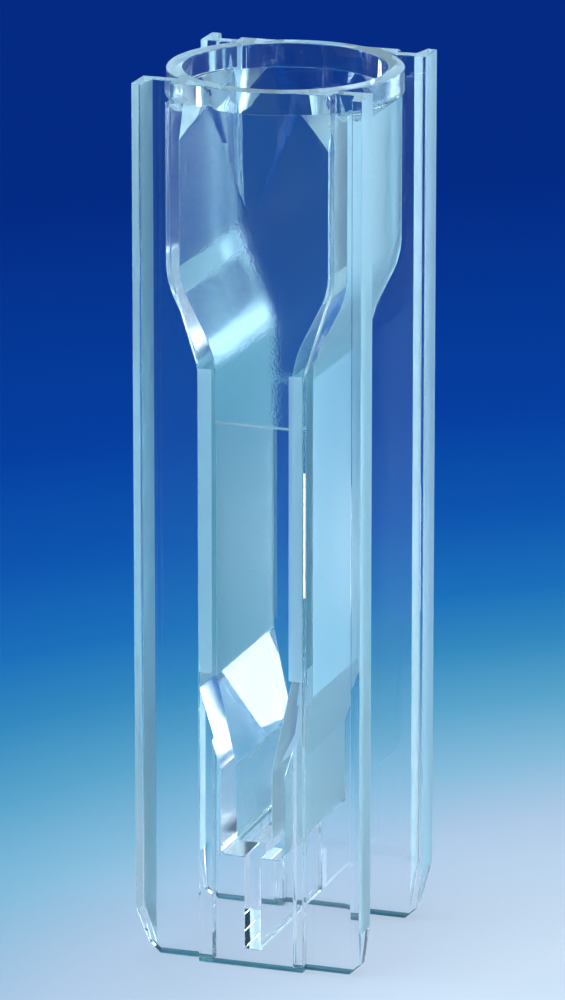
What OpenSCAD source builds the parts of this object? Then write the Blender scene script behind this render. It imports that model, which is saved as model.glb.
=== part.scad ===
// Clear moulded cuvette for very small samples.
// Two ribbed plates stand front and rear. Between them hangs a thin-walled
// channel: a round mouth, a wide funnel, a shoulder, a slim chamber and, lower
// down, the narrow measuring cell. One piece, no moving parts.
// Millimetres. Z is up, the base is at z = 0, the windows look along Y.

/* [Outside] */

// Overall height, from the bottom edges of the plates to the rim
height = 45; // [44:0.25:48]
// Width over the outer edges of the ribs
width = 11.8; // [11.7:0.1:12.4]
// Depth over the tips of the front and rear ribs
depth = 11.8; // [11.7:0.1:12.4]

/* [Plates and ribs] */

// Clear distance between the two plates
plate_gap = 8.3; // [8:0.1:8.5]
// Thickness of a plate
plate_t = 0.65; // [0.55:0.05:0.7]
// Width of a rib where it leaves the plate
rib_foot_w = 0.72; // [0.6:0.04:0.9]
// Width of a rib at its tip
rib_tip_w = 0.5; // [0.4:0.02:0.58]
// Height at which the lower end of a rib starts to slope back into its plate
rib_end_z = 2.9; // [2.2:0.1:4]
// Width of the long cut on a bottom corner
corner_side_w = 0.3; // [0.2:0.02:0.4]
// Height at which the long cut on a bottom corner starts
corner_side_z = 2.5; // [1.8:0.1:3]
// Width of the short cut on a bottom corner
corner_low_w = 0.6; // [0.4:0.05:0.8]
// Height of the short cut on a bottom corner
corner_low_z = 0.55; // [0.4:0.05:0.7]

/* [Window panels] */

// How far a panel stands out in front of its plate
panel_rise = 0.55; // [0.5:0.01:0.6]
// Width of a panel beside the chamber
panel_w = 5.5; // [5.2:0.05:5.7]
// Width of a panel over the funnel
panel_top_w = 8.3; // [7.8:0.1:8.6]
// Height at which a panel starts to widen
panel_low_z = 30.8; // [30:0.1:31.4]
// Height at which a panel has its full width
panel_high_z = 35.3; // [34.6:0.1:36]
// Radius of the bends in a panel's edge
panel_r = 2.5; // [1:0.25:4]
// Width of the pocket behind the foot of a panel
pocket_w = 4.3; // [4:0.1:4.6]

/* [Channel] */

// Wall thickness of the funnel
funnel_t = 0.8; // [0.7:0.05:0.85]
// Wall thickness of the chamber
chamber_t = 0.92; // [0.75:0.01:0.98]
// Wall thickness of the measuring cell
cell_t = 0.72; // [0.6:0.04:0.8]
// Inside width of the funnel
funnel_w = 7.7; // [7.4:0.05:7.8]
// Inside width of the chamber
chamber_w = 4; // [3.9:0.05:4.1]
// Inside width of the measuring cell
cell_w = 1.9; // [1.7:0.05:2.1]
// Thickness of a window, and of the funnel's front and rear walls
window_t = 1; // [0.9:0.05:1.15]
// Extra depth of the funnel over the windows, at the front and at the rear
funnel_step = 0.08; // [0.03:0.01:0.1]
// Height of that fine step
step_z = 28; // [26:0.25:29.5]
// Height of the floor of the measuring cell
floor_z = 6.4; // [6.2:0.05:6.8]
// Thickness of the floor
floor_t = 0.7; // [0.6:0.05:1]
// Radius along the floor of the measuring cell
floor_r = 0.25; // [0.15:0.05:0.35]
// Height at which the measuring cell starts to widen, inside
cell_top_z = 10.2; // [10:0.1:11]
// Height at which the chamber has its full width, inside
taper_top_z = 15; // [14.5:0.1:16]
// Height at which the outer wall of the cell starts to widen
cell_top_out_z = 10.1; // [9.6:0.1:10.6]
// Height at which the outer wall has the chamber's full width
taper_top_out_z = 14.1; // [13.6:0.1:14.6]
// Height of the lower bend of the shoulder, on the outer wall
shoulder_z = 31.35; // [31:0.05:32]
// Slope of the shoulder, measured from upright
shoulder_slope = 26.5; // [24:0.5:30]
// Radius of the lower bend of the shoulder, on the outer wall
shoulder_low_r = 4.7; // [3:0.1:6]
// Radius of the upper bend of the shoulder, on the outer wall
shoulder_high_r = 4.5; // [3:0.1:6]

/* [Mouth] */

// Outside diameter of the rim
rim_d = 11.7; // [11.5:0.05:11.9]
// Wall thickness of the rim
rim_t = 0.8; // [0.72:0.02:0.88]
// Height of the rim ring
rim_h = 1.2; // [1:0.05:1.5]
// Height of the slope from the rim ring in to the flat sides
collar_h = 0.9; // [0.8:0.05:1.2]
// Height of the slope from the bore of the rim in to the funnel
lip_h = 0.8; // [0.6:0.05:0.9]
// Distance from the rim down to the tip of the front and rear spouts
spout_drop = 7; // [6:0.25:8]
// Slope by which the inner corners of the funnel run in to the round bore
corner_slope = 25; // [18:1:30]

/* [Web under the cell] */

// Thickness of the upright web
web_t = 0.85; // [0.7:0.05:1]
// Height of the lower edge of the web
web_z = 0.85; // [0.5:0.05:1.5]

/* [Hidden] */

$fn = 96;

half_w = width / 2;
plate_in = plate_gap / 2;            // inner face of a plate
plate_out = plate_in + plate_t;      // outer face of a plate
panel_out = plate_out + panel_rise;  // outer face of a window
rim_r = rim_d / 2;
bore_r = rim_r - rim_t;
funnel_half = funnel_w / 2;
chamber_half = chamber_w / 2;
cell_half = cell_w / 2;
window_in = panel_out - window_t;     // inner face of a window
funnel_in = window_in + funnel_step;  // front wall of the funnel, inside
side_out = funnel_half + funnel_t;   // flat sides under the mouth
chamber_out = chamber_half + chamber_t;
cell_out = cell_half + cell_t;
shoulder_top_z = shoulder_z + (side_out - chamber_out) / tan(shoulder_slope);
// the inner shoulder keeps the funnel's wall thickness
inner_top_z = shoulder_top_z + funnel_t * tan(shoulder_slope / 2);
inner_low_z = inner_top_z - (funnel_half - chamber_half) / tan(shoulder_slope);

// Half outlines as corners: x, z and the radius of the bend
wall_outline = [[0, floor_z - floor_t, 0], [cell_out, floor_z - floor_t, floor_r + 0.1],
    [cell_out, cell_top_out_z, 1], [chamber_out, taper_top_out_z, 1],
    [chamber_out, shoulder_z, shoulder_low_r],
    [side_out, shoulder_top_z, shoulder_high_r],
    [side_out, height - rim_h, 0], [0, height - rim_h, 0]];
open_outline = [[0, floor_z, 0], [cell_half, floor_z, floor_r],
    [cell_half, cell_top_z, 2], [chamber_half, taper_top_z, 2],
    [chamber_half, inner_low_z, shoulder_low_r + funnel_t],
    [funnel_half, inner_top_z, shoulder_high_r - funnel_t],
    [funnel_half, height - rim_h, 0], [0, height - rim_h, 0]];
panel_outline = [[0, 0, 0], [panel_w / 2, 0, 0], [panel_w / 2, panel_low_z, panel_r],
    [panel_top_w / 2, panel_high_z, panel_r], [panel_top_w / 2, height, 0],
    [0, height, 0]];

// Clear plastic, for display only
module clear() { color([0.84, 0.93, 0.97, 0.45]) children(); }

// Repeats a shape mirrored to the other side of the middle plane
module both(v) { children(); mirror(v) children(); }

// Stands a shape drawn in X and Z upright, filling the depth from y0 to y1
module upright(y0, y1) {
    rotate([90, 0, 0]) translate([0, 0, -y1]) linear_extrude(y1 - y0) children();
}

function flat(q) = [q.x, q.y];
function bend(p, i) = (p[i].x - p[i - 1].x) * (p[i + 1].y - p[i].y)
    - (p[i].y - p[i - 1].y) * (p[i + 1].x - p[i].x);

// The sliver between corner i of an outline and its rounding. It reaches a
// little past the corner, and its circle is a trace larger than its radius, so
// that both cut the two lines cleanly.
module sliver(p, i) {
    b = flat(p[i]);
    r = p[i][2];
    u = (flat(p[i - 1]) - b) / norm(flat(p[i - 1]) - b);
    v = (flat(p[i + 1]) - b) / norm(flat(p[i + 1]) - b);
    h = acos(u * v) / 2;
    middle = b + (u + v) / norm(u + v) * r / sin(h);
    past = 1 + 0.05 / r;
    translate(middle) difference() {
        polygon([[0, 0], (b + u * r / tan(h) - middle) * past, (b - middle) * past,
            (b + v * r / tan(h) - middle) * past]);
        circle(r + 0.004);
    }
}

// A half outline with its bends rounded, drawn on both sides of the middle
module outline(p) {
    both([1, 0]) difference() {
        union() {
            polygon([for (q = p) flat(q)]);
            for (i = [1 : len(p) - 2]) if (p[i][2] > 0 && bend(p, i) < 0) sliver(p, i);
        }
        for (i = [1 : len(p) - 2]) if (p[i][2] > 0 && bend(p, i) > 0) sliver(p, i);
    }
}

// Outline of a plate: a tall rectangle with cut bottom corners
module plate_outline() {
    x1 = half_w - corner_side_w;
    both([1, 0]) polygon([[0, 0], [x1 - corner_low_w, 0], [x1, corner_low_z],
        [half_w, corner_side_z], [half_w, height], [0, height]]);
}

// One plate with a rib along each edge and the raised panel in the middle
module plate() {
    upright(plate_in, plate_out) plate_outline();
    intersection() {
        both([1, 0, 0]) linear_extrude(height) polygon([
            [half_w - rib_foot_w, plate_in], [half_w - rib_foot_w, plate_out],
            [half_w - rib_tip_w, depth / 2], [half_w, depth / 2], [half_w, plate_in]]);
        upright(0, depth) plate_outline();
        // the lower end of a rib slopes back into the plate
        rotate([90, 0, 90]) linear_extrude(width, center = true)
            polygon([[0, 0], [plate_out, corner_low_z], [depth / 2, rib_end_z],
                     [depth / 2, height], [0, height]]);
    }
    upright(plate_in, panel_out) outline(panel_outline);
}

// The pocket behind the foot of a panel: it follows the widening of the cell
module pocket() {
    upright(plate_in - 0.5, plate_out) intersection() {
        translate([-pocket_w / 2, -1]) square([pocket_w, taper_top_out_z + 1]);
        difference() {
            square([2 * pocket_w, 2 * taper_top_out_z], center = true);
            outline(wall_outline);
        }
    }
}

// Spout shape: the round mouth grows out of a flat face at depth d. Its middle
// line is a large arc, tangent to the face at the tip, that meets radius r at
// height top. The crease between the two is a pointed V.
module spout(d, r, w, top) {
    tip = height - spout_drop;
    rise = top - tip;
    arc_r = (rise * rise + (r - d) * (r - d)) / (2 * (r - d));
    intersection() {
        rotate_extrude() difference() {
            translate([0, tip]) square([r, rise]);
            translate([d + arc_r, tip]) circle(arc_r, $fn = 720);
        }
        translate([-w, 0, 0]) cube([2 * w, r, height]);
    }
}

// Everything that is solid before the channel is opened
module body() {
    both([0, 1, 0]) {
        difference() {
            plate();
            pocket();
        }
        spout(panel_out, rim_r, panel_top_w / 2, height);
    }
    upright(-plate_out, plate_out) outline(wall_outline);
    // rim ring and the slope under it, cut flat where they meet the panels
    intersection() {
        union() {
            translate([0, 0, height - rim_h]) cylinder(h = rim_h, r = rim_r);
            translate([0, 0, height - rim_h - collar_h])
                cylinder(h = collar_h, r1 = side_out, r2 = rim_r);
        }
        upright(-panel_out, panel_out) square([2 * width, 2 * height], center = true);
    }
    // web under the floor
    upright(-plate_out, plate_out)
        translate([-web_t / 2, web_z]) square([web_t, floor_z - web_z - floor_t / 2]);
}

// The open inside: channel, funnel with its fine step, slope and bore of the
// mouth. Towards the bore the corners of the funnel run in on a steep cone.
module inside() {
    top = height - rim_h;
    low = top - lip_h;
    wide = depth / 2;
    intersection() {
        union() {
            upright(-window_in, window_in) outline(open_outline);
            upright(-funnel_in, funnel_in) intersection() {
                outline(open_outline);
                translate([-half_w, step_z]) square([width, top - step_z]);
            }
        }
        rotate_extrude() polygon([[0, 0], [wide + 1, 0],
            [wide + 1, top - (wide + 1 - bore_r) / tan(corner_slope)], [bore_r, top], [0, top]]);
    }
    // the spouts run a trace into the bore, so that the faces cut cleanly
    both([0, 1, 0]) spout(funnel_in, bore_r, funnel_half, top + 0.1);
    translate([0, 0, low]) cylinder(h = lip_h, r1 = funnel_half, r2 = bore_r);
    translate([0, 0, top]) cylinder(h = rim_h + 1, r = bore_r);
}

module cuvette() clear() difference() {
    body();
    inside();
}

cuvette();
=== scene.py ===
# %% [markdown]
# A clear moulded cuvette, 45 mm tall, with a round mouth, a wide funnel, a slim
# chamber and a narrow measuring cell between two plates. The imported solid gives
# every size. Its copy gets softly rounded edges, and eight finishes of clear
# plastic. Most are surface qualities, from polished to frosted, but on the outer
# walls the frost goes on the right side only, where the light falls, so that
# paleness is painted light. Three are painted light outright, in place of the way
# a clear solid bends light at its corners: a painted highlight line, a line of
# painted shade and painted pale strips, and say so below.

# %% Load the frame
import bpy, bmesh, math
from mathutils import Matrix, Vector


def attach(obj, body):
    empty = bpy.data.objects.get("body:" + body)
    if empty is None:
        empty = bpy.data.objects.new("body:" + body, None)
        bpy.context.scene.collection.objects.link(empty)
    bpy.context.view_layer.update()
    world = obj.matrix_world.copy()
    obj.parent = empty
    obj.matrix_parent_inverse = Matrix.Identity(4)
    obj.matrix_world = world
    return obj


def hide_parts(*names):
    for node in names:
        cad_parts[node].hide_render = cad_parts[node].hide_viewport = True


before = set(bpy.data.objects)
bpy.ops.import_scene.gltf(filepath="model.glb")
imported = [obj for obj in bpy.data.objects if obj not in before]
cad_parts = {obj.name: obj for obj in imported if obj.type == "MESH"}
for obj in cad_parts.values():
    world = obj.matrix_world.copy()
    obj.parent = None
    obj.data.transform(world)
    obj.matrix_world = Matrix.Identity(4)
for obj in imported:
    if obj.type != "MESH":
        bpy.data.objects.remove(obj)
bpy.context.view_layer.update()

MM = 0.001
scene = bpy.context.scene

# %% [markdown]
# The body. A mould leaves every edge a little round, and on clear plastic those
# tiny rounds are what shows: each is a thin bright or dark line. The edges could
# be left sharp and faked in the shader, but then they would be missing from the
# mesh. So the upright triangles are merged into whole faces, and the sharp edges
# with room for it get the same small bevel. Level faces have holes in them, such
# as the rim, and a merge would close the holes, so those stay as triangles.

# %% Copy the solid and merge its triangles
SEAM = 0.001            # corners closer than this, in millimetres, are one corner
FLAT_TURN = 0.3         # faces that turn less than this, in degrees, are one face
LEVEL = 0.98            # a face whose normal points this much up or down is level


def upright(c, n): return abs(n.z) < LEVEL


def choose(pick):
    """Selects the faces that pick chooses by their middle and normal, in edit mode."""
    bpy.ops.object.mode_set(mode="EDIT")
    bpy.ops.mesh.select_all(action="DESELECT")
    bpy.ops.object.mode_set(mode="OBJECT")
    for f in body.data.polygons:
        f.select = pick(f.center, f.normal)
    bpy.ops.object.mode_set(mode="EDIT")


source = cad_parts["cuvette"]
body = source.copy()
body.data = source.data.copy()
body.name = body.data.name = "clear_body"
body.parent = None
body.matrix_world = source.matrix_world.copy()
scene.collection.objects.link(body)
bpy.ops.object.select_all(action="DESELECT")
body.select_set(True)
bpy.context.view_layer.objects.active = body
bpy.ops.object.transform_apply(location=True, rotation=True, scale=True)
body.scale = [1 / MM] * 3       # worked in whole millimetres, shrunk back later
bpy.ops.object.transform_apply(location=False, rotation=False, scale=True)
bpy.ops.object.mode_set(mode="EDIT")
bpy.ops.mesh.select_all(action="SELECT")
bpy.ops.mesh.remove_doubles(threshold=SEAM)
choose(upright)
bpy.ops.mesh.dissolve_limited(angle_limit=math.radians(FLAT_TURN))
bpy.ops.object.mode_set(mode="OBJECT")
print("whole faces:", len(body.data.polygons))

# %% [markdown]
# Thin strips of painted light for the places where clear plastic bends light: a
# painted highlight line under the small step at the top of the chamber, a dark line
# of painted shade along the bottom edge, and a pale strip of painted light on each
# side of the channel. Traced light leaves these places dim. They could be separate
# slivers laid on the body, but a bisect that scores the faces keeps the body one
# closed piece. Each strip gets a finish of its own.

# %% Score the strips into the faces
# These cuts bound the painted light: a painted highlight line under the step, a line of painted
# shade along the bottom edge, and painted pale strips beside the channel.
STEP_LINE = 27.88           # height of the cut under the step
FOOT_LINE = 0.16            # height of the cut along the bottom edge
STRIP = (15.2, 30.8)        # lower and upper end of the pale strips
STRIP_IN = 2                # the strips start this far from the middle
PANEL_OUT = 5.35            # outer face of the raised panels
ALONG_Y = 0.99              # a normal that points this much forward or back
UP, ACROSS = (0, 0, 1), (1, 0, 0)


def window(c, n):
    """The inner face of a measuring window."""
    return 4.3 < abs(c.y) < 4.4 and abs(n.y) > ALONG_Y and 9 < c.z < 12 and abs(c.x) < 0.1


def panel_face(c, n):
    """The outer face of a raised panel."""
    return abs(abs(c.y) - PANEL_OUT) < 0.02 and abs(n.y) > ALONG_Y


def score(pick, place, way):
    """Cuts a straight line across the faces that pick chooses."""
    choose(pick)
    bpy.ops.mesh.bisect(plane_co=place, plane_no=way)
    bpy.ops.object.mode_set(mode="OBJECT")


score(window, (0, 0, STEP_LINE), UP)
score(upright, (0, 0, FOOT_LINE), UP)
for z in STRIP:
    score(panel_face, (0, 0, z), UP)
for x in (-STRIP_IN, STRIP_IN):
    score(panel_face, (x, 0, 0), ACROSS)
print("faces with the strips:", len(body.data.polygons))

# %% [markdown]
# Which edges get the round: all clear corners whose neighbours are long enough to
# carry it. A bevel on an edge with a very short neighbour would fold over itself.
# Every other corner of more than 14 degrees is marked sharp. Weights on the edges
# choose them, so that one Bevel modifier does them all at one size.

# %% Round the edges
ROUND = 0.045               # radius of the edges, in millimetres
ROUND_TURN = 50             # corners sharper than this, in degrees, are rounded
CREASE_TURN = 14            # corners sharper than this stay a crease
LEVEL_TURN = 0.5            # a window's edge that turns more than this is a crease
ONE_LINE = 0.9              # two edges of a smooth bend run on this nearly straight
FLAT_Y = 0.99999            # the normal of a window is this close to straight

bm = bmesh.new()
bm.from_mesh(body.data)
weight = bm.edges.layers.float.new("bevel_weight_edge")


def turn_of(e): return math.degrees(e.calc_face_angle(0))


def has_room(v):
    """True where no short edge crowds the round; the links of a smooth bend may be short."""
    chain = [e for e in v.link_edges if turn_of(e) > ROUND_TURN]
    smooth = False
    if len(chain) == 2:
        a, b = ((e.other_vert(v).co - v.co).normalized() for e in chain)
        smooth = a.dot(b) < -ONE_LINE
    return not any(e.calc_length() < 2 * ROUND and not (smooth and e in chain)
                   for e in v.link_edges)


roomy = {v: has_room(v) for v in bm.verts}
count = 0
for e in bm.edges:
    corner = turn_of(e)
    rounded = corner > ROUND_TURN and all(roomy[v] for v in e.verts)
    windows = sum(abs(f.normal.y) > FLAT_Y for f in e.link_faces)
    e[weight] = 1.0 if rounded else 0.0
    e.smooth = rounded or (corner < CREASE_TURN and not (windows == 1 and corner > LEVEL_TURN))
    count += rounded
for f in bm.faces:
    f.smooth = True
bm.to_mesh(body.data)
bm.free()
print("edges to round:", count)

bevel = body.modifiers.new("edge_round", "BEVEL")
bevel.width, bevel.segments, bevel.limit_method = ROUND, 3, "WEIGHT"
bevel.use_clamp_overlap = False
bevel.loop_slide = True
bpy.ops.object.modifier_apply(modifier="edge_round")
body.scale = [MM] * 3
bpy.ops.object.transform_apply(location=False, rotation=False, scale=True)
bm = bmesh.new()
bm.from_mesh(body.data)
print("faces:", len(bm.faces), "open or doubled edges:", sum(not e.is_manifold for e in bm.edges))
bm.free()

# %% [markdown]
# Corner normals. Plain smooth shading would let the tiny rounds pull the wide
# windows out of level, and clear plastic shows that at once. So each corner takes
# the mean of the faces round it that turn away by less than 40 degrees, weighed by
# size. Wide faces so stay level, and the small rounds flow into them. Only the
# shallow creases, where a spout leaves its flat panel, are kept as creases.

# %% Set the corner normals
SHARE_TURN = 40             # faces that turn less than this, in degrees, share a normal
mesh = body.data
around = [[] for _ in mesh.vertices]
for f in mesh.polygons:
    for v in f.vertices:
        around[v].append(f.index)
faces = [(f.normal.copy(), f.area, abs(f.normal.y) > FLAT_Y) for f in mesh.polygons]
near, crease, level = (math.cos(math.radians(a)) for a in (SHARE_TURN, CREASE_TURN, LEVEL_TURN))
corners = []
for f in mesh.polygons:
    own, _, flat = faces[f.index]
    for v in f.vertices:
        mean = Vector()
        for k in around[v]:
            n, area, other = faces[k]
            d = n.dot(own)
            if d > near and not (flat != other and crease < d < level):
                mean += n * area
        corners.append(mean.normalized())
mesh.normals_split_custom_set(corners)
print("corner normals set:", len(corners))

# %% [markdown]
# Shader nodes. A material is a web of nodes, and wiring it by hand takes many
# lines. Here one class wraps a shader value, so that shader maths reads like plain
# maths, and one class holds a material and adds any other node in a single call.

# %% Helpers for shader nodes
class Value:
    """One shader value; +, -, * and the named calls each add one Math node."""

    def __init__(self, paint, socket):
        self.paint, self.socket = paint, socket

    def math(self, op, a, b):
        return self.paint.node("Math", {"operation": op}, {0: a, 1: b})

    def __add__(self, o): return self.math("ADD", self, o)
    def __mul__(self, o): return self.math("MULTIPLY", self, o)
    def __rsub__(self, o): return self.math("SUBTRACT", o, self)
    def max(self, o): return self.math("MAXIMUM", self, o)

    def step(self, lo, hi, a, b):
        """Runs smoothly from a, where the value is lo, to b, where it is hi."""
        return self.paint.node("MapRange", {"interpolation_type": "SMOOTHSTEP"},
                               {"Value": self, "From Min": lo, "From Max": hi,
                                "To Min": a, "To Max": b}, "Result")


class Paint:
    """A material; node() adds a node: its type, settings, and a value or link per socket."""

    def __init__(self, name):
        self.material = bpy.data.materials.new(name)
        self.material.use_nodes = True
        self.tree = self.material.node_tree
        self.tree.nodes.clear()

    def node(self, kind, settings=None, values=None, out=0):
        made = self.tree.nodes.new("ShaderNode" + kind)
        for name, setting in (settings or {}).items():
            if name == "stops":
                knots = made.color_ramp.elements
                while len(knots) < len(setting):
                    knots.new(0.5)
                for knot, (place, colour) in zip(knots, setting):
                    knot.position, knot.color = place, colour
            else:
                setattr(made, name, setting)
        for name, value in (values or {}).items():
            if isinstance(value, Value):
                self.tree.links.new(value.socket, made.inputs[name])
            else:
                made.inputs[name].default_value = value
        return Value(self, made.outputs[out]) if made.outputs else made


# %% [markdown]
# The finishes, all of one clear plastic that bends light by 1.57. Windows and
# plates are polished. The chamber's walls are grained and milky, the inside of the
# funnel is satin, and the rib flanks are frosted. The outer walls are frosted on
# the right side only, where the light falls, so their paleness there is painted
# light. The upper bend is dull. The grain is a fine bump, since it is too small for
# geometry. The last three are painted light that stands in for bent light and
# aren't another material: a painted highlight line, a line of painted shade and
# painted pale strips.

# %% Mix the finishes
BENDS = 1.57                # how strongly the plastic bends light
GRAIN_SCALE = 7500          # specks to the metre
GRAIN_DEPTH = 0.02 * MM
# name, tint, roughness, how clear it is, and the strength of its grain
FINISHES = (("polished_plastic", (0.965, 0.985, 1.0), 0.015, 1.0, 0),
            ("grained_plastic", (0.66, 0.94, 1.0), 0.35, 0.35, 0.9),
            ("satin_plastic", (0.82, 0.98, 1.0), 0.15, 1.0, 0.45),
            # Frosted is real on the rib flanks. On the right outer walls alone it paints the lit
            # side paler.
            ("frosted_plastic_and_painted_light", (0.7, 0.96, 1.0), 0.55, 0.87, 0.9),
            ("dull_plastic", (0.78, 0.97, 1.0), 0.6, 1.0, 0.6),
            # Painted highlight: a bright, nearly opaque line under the step.
            ("painted_highlight_line", (0.9, 1.0, 1.0), 0.4, 0.1, 0),
            # Painted shade: a dark line along the bottom edge.
            ("painted_shade_line", (0.04, 0.24, 0.3), 0.1, 0.5, 0),
            # Painted light: pale strips beside the channel.
            ("painted_light_strip", (0.86, 0.98, 1.0), 0.25, 0.62, 0.6))


def plastic(name, tint, rough, clear, grain):
    """Makes one finish of the clear plastic."""
    paint = Paint(name)
    values = {"Base Color": (*tint, 1), "IOR": BENDS, "Roughness": rough,
              "Transmission Weight": clear}
    if grain:
        place = paint.node("TexCoord", out="Object")
        noise = paint.node("TexNoise", values={"Scale": GRAIN_SCALE, "Detail": 2,
                                               "Vector": place}, out="Fac")
        values["Normal"] = paint.node("Bump", values={"Strength": grain, "Height": noise,
                                                      "Distance": GRAIN_DEPTH})
    paint.node("OutputMaterial", values={"Surface": paint.node("BsdfPrincipled", values=values)})
    return paint.material


body.data.materials.clear()
for finish in FINISHES:
    body.data.materials.append(plastic(*finish))
print("finishes:", ", ".join(m.name for m in body.data.materials))

# %% [markdown]
# Where each finish goes. The faces could be painted with a mask, but the finishes
# on the real part change at its own edges, so each whole face is given one finish,
# chosen by its place and the way it points. The first rule that fits a face wins.

# %% Give each face its finish
PLATE_IN = 4.14             # the channel's walls lie this close to the middle plane
WALL_OUT = 4.72             # and no further out than this
SIDEWAYS = 0.35             # a side wall's normal points at least this much sideways
TAPER_TOP = 14.2            # the taper ends here and the chamber starts
CHAMBER_TOP = 30.5          # the chamber ends here and the funnel starts
FUNNEL_TOP = 43.2
UPPER_BEND = 33.8           # the bend of the funnel's wall starts here


def finish_of(c, n):
    """The finish of a face, from its middle c, in millimetres, and its normal n."""
    across, deep = abs(c.x), abs(c.y)
    inner = c.x * n.x < 0
    right = c.x > 0
    side = abs(n.x) > SIDEWAYS and deep < PLATE_IN and across < WALL_OUT and c.z > 5
    # Painted shade: the bottom edge and the foot take a dark finish.
    shaded_foot = c.z < 0.15 or (c.z < 0.6 and across > 5.25 and n.z < -0.05)
    # Painted light: pale strips on the panels beside the channel.
    painted_strip_faces = panel_face(c, n) and STRIP_IN < across < 2.75 and STRIP[0] < c.z < STRIP[1]
    cone = inner and 40 < c.z < 43.9 and min(abs(n.x), abs(n.y)) > 0.3 and n.z < -0.25
    # Painted light: only the right outer walls, where the light falls, get frost and so look
    # paler.
    lit_low_outside = side and right and not inner and 6 < c.z < TAPER_TOP
    # Painted highlight: the strip under the step gets a bright, nearly opaque finish.
    highlight_under_step = 27.86 < c.z < 28.1 and across < 2.6 and deep < 4.6
    taper = side and inner and 10.3 < c.z < 14.9 and abs(n.z) > 0.1
    funnel_inside = side and inner and c.z > UPPER_BEND
    funnel_outside = side and not inner and CHAMBER_TOP <= c.z < FUNNEL_TOP
    chamber = side and TAPER_TOP < c.z < CHAMBER_TOP
    ledge = abs(n.z) > 0.9 and 27.5 < c.z < 28.5
    corner_line = 4.2 < deep < 4.45 and 1.85 < across < 2.05 and 14 < c.z < 28
    funnel_window = 4.38 < deep < 4.46 and c.z > 28 and abs(n.y) > 0.9999
    rib_flank = across > 5.1 and deep > 4.82 and abs(n.y) < 0.5
    collar = 42 < c.z < 44.99 and math.hypot(c.x, c.y) > 5.3 and deep < PLATE_IN
    # painted shade line along the bottom edge
    for fits, name in ((shaded_foot, "painted_shade_line"),
                       # painted light strips beside the channel
                       (painted_strip_faces, "painted_light_strip"),
                       (cone, "dull_plastic"),
                       (lit_low_outside, "frosted_plastic_and_painted_light"),
                       # painted highlight line under the step
                       (highlight_under_step, "painted_highlight_line"),
                       (taper, "polished_plastic"),
                       (funnel_inside and abs(n.z) > 0.02, "dull_plastic"),
                       (funnel_inside, "polished_plastic"),
                       # Painted light: frost on the funnel's right outer wall only, the lit side.
                       (funnel_outside and right, "frosted_plastic_and_painted_light"),
                       (chamber or ledge or corner_line, "grained_plastic"),
                       (side or funnel_window, "satin_plastic"),
                       (rib_flank, "frosted_plastic_and_painted_light"),
                       (collar, "satin_plastic")):
        if fits:
            return name
    return "polished_plastic"


slots = [finish[0] for finish in FINISHES]
for f in body.data.polygons:
    f.material_index = slots.index(finish_of(f.center / MM, f.normal))
for k, name in enumerate(slots):
    print(name, "faces:", sum(f.material_index == k for f in body.data.polygons))

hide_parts("cuvette")
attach(body, "root")

# %% [markdown]
# The floor, one wide disc. It is pale near the part, deepens to blue behind it and
# to the left, and keeps one even mid blue in front. A clear part shows whatever is
# behind it, so this is what its edges and walls read against. A second plane for a
# backdrop would show its joint through the plastic, so the colour changes over one
# plain disc instead, with the distance from a point just beside the part.

# %% Lay the floor
RADIUS = 1.2                        # of the disc, in metres
PALE_MIDDLE = (0.045, -0.016, 0)    # the palest point of the floor, in metres
FAR = 0.2                           # distance at which the ramp ends
FRONT = (-60, -30)                  # millimetres in front over which the mid blue sets in
MID_BLUE = 0.39
OWN_LIGHT = 0.75                    # share of the floor's colour that needs no lamp
# distance in metres, and the colour there as 0 to 255
STOPS = ((0.035, (214, 228, 244)), (0.053, (182, 203, 227)), (0.063, (135, 184, 211)),
         (0.073, (90, 160, 195)), (0.083, (52, 134, 183)), (0.093, (28, 110, 179)),
         (0.108, (14, 84, 169)), (0.130, (6, 62, 154)), (0.190, (4, 42, 128)))


def linear(colour):
    """A colour from 0 to 255 as the shader's linear values."""
    return [((v / 255 + 0.055) / 1.055) ** 2.4 if v > 10 else v / 255 / 12.92 for v in colour]


bpy.ops.object.select_all(action="DESELECT")
bpy.ops.mesh.primitive_circle_add(vertices=96, radius=RADIUS, fill_type="NGON")
floor = bpy.context.active_object
floor.name = floor.data.name = "floor"
floor.location.z = -0.05 * MM       # a trace lower, so that the part's foot stays clear of it

paint = Paint("floor_paint")
place = paint.node("TexCoord", out="Object")
forward = paint.node("SeparateXYZ", values={0: place}, out="Y") * 1000.0
away = paint.node("VectorMath", {"operation": "DISTANCE"}, {0: place, 1: PALE_MIDDLE},
                  "Value") * (1 / FAR)
away = (MID_BLUE - away) * forward.step(*FRONT, 1, 0) + away    # even mid blue in front
colour = paint.node("ValToRGB", {"stops": [(d / FAR, (*linear(c), 1)) for d, c in STOPS]},
                    {0: away})
ray = {kind: paint.node("LightPath", out=f"Is {kind} Ray")
       for kind in ("Camera", "Glossy", "Transmission")}
seen = ray["Camera"].max(ray["Glossy"]).max(ray["Transmission"]) * OWN_LIGHT
matt = paint.node("BsdfDiffuse", values={"Color": colour})
glow = paint.node("Emission", values={"Color": colour})
paint.node("OutputMaterial",
           values={"Surface": paint.node("MixShader", values={0: seen, 1: matt, 2: glow})})
floor.data.materials.append(paint.material)
print("floor radius in m:", RADIUS, "colour stops:", len(STOPS))

# %% [markdown]
# The light. Five soft panels, tinted cool, stand to the right, to the left, in
# front, overhead and behind left. Two small ones stand low behind the part on the
# right: their mirror images make the white patch on the funnel's shoulder and the
# white face of the taper. The world is a faint dark blue.

# %% Hang the panels
AIM = Vector((0, 0, 0.022))
COOL = (0.68, 0.93, 1.08)
SKY = (0.004, 0.03, 0.06, 1)


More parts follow.
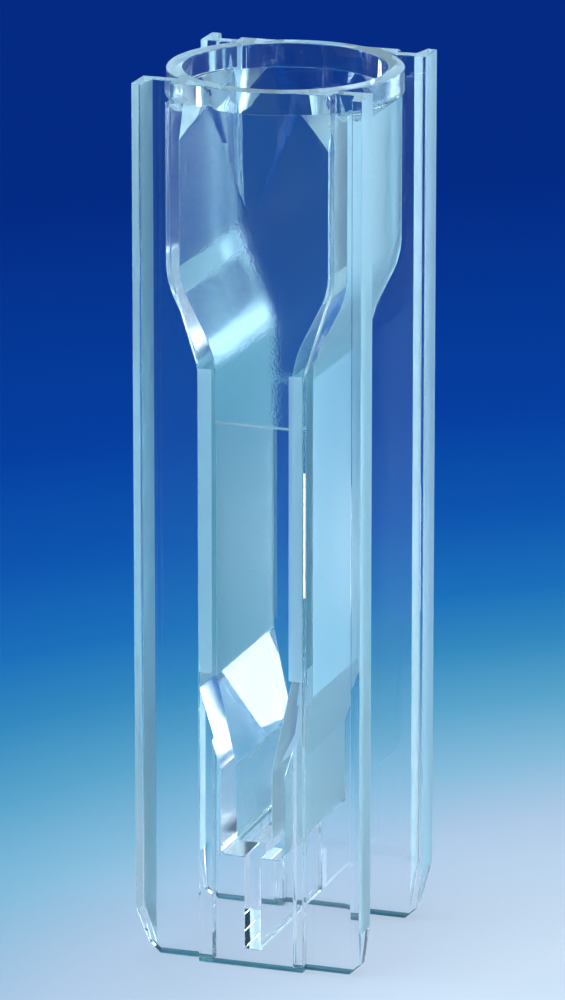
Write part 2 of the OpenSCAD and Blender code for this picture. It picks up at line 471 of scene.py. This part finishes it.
def panel(name, at, size, watts, colour):
    """Hangs one rectangular panel that points at the middle of the part."""
    light = bpy.data.lights.new(name, "AREA")
    light.shape, light.size, light.size_y = "RECTANGLE", *size
    light.energy, light.color = watts, colour
    ob = bpy.data.objects.new(name, light)
    scene.collection.objects.link(ob)
    ob.location = at
    ob.visible_camera = False
    ob.rotation_euler = (AIM - Vector(at)).to_track_quat("-Z", "Y").to_euler()
    print(name, "of", watts, "W,", round((AIM - Vector(at)).length, 3), "m from the part")


panel("right_panel", (0.39, 0.25, 0.11), (0.26, 0.3), 1.8, COOL)
panel("left_panel", (-0.45, -0.1, 0.13), (0.3, 0.22), 3.2, COOL)
panel("front_panel", (-0.2, -0.45, 0.3), (0.3, 0.3), 1.5, COOL)
panel("top_panel", (0.0, 0.05, 0.55), (0.3, 0.3), 1.4, COOL)
panel("rear_left_panel", (-0.155, 0.455, 0.19), (0.5, 0.26), 0.4, (0.6, 0.86, 1.0))
panel("low_panel", (0.083, 0.182, 0.0215), (0.03, 0.04), 0.07, (0.72, 0.95, 1.0))
panel("small_panel", (0.0202, 0.0457, 0.0068), (0.006, 0.007), 0.0008, (0.95, 0.99, 1.0))
world = bpy.data.worlds.new("even_sky")
scene.world = world
world.use_nodes = True
sky = world.node_tree.nodes["Background"]
sky.inputs["Color"].default_value = SKY
sky.inputs["Strength"].default_value = 1.0

# %% [markdown]
# The camera looks down a little from the right front, from 0.38 m away, through a
# long lens, so that the tall edges stay nearly parallel. Light passes through many
# clear walls here, so it is followed for more turns than is usual.

# %% Set the camera
TURN, LIFT, REACH = math.radians(18.95), math.radians(16.29), 0.379
AIM_LEFT, AIM_UP = 0.145, 22.857        # where the camera looks, in millimetres
LENS, SENSOR = 274.05, 36

look = Vector((-AIM_LEFT * MM * math.cos(TURN), -AIM_LEFT * MM * math.sin(TURN), AIM_UP * MM))
way = Vector((math.sin(TURN) * math.cos(LIFT), -math.cos(TURN) * math.cos(LIFT), math.sin(LIFT)))
camera = bpy.data.objects.new("camera", bpy.data.cameras.new("camera"))
scene.collection.objects.link(camera)
camera.location = look + way * REACH
camera.rotation_euler = (-way).to_track_quat("-Z", "Y").to_euler()
camera.data.sensor_fit, camera.data.sensor_height, camera.data.lens = "VERTICAL", SENSOR, LENS
camera.data.clip_start, camera.data.clip_end = 0.01, 10
scene.camera = camera
scene.view_settings.view_transform = "Standard"
scene.cycles.max_bounces = 24
scene.cycles.transmission_bounces = 24
scene.cycles.glossy_bounces = 12
print("camera at:", [round(v, 3) for v in camera.location])
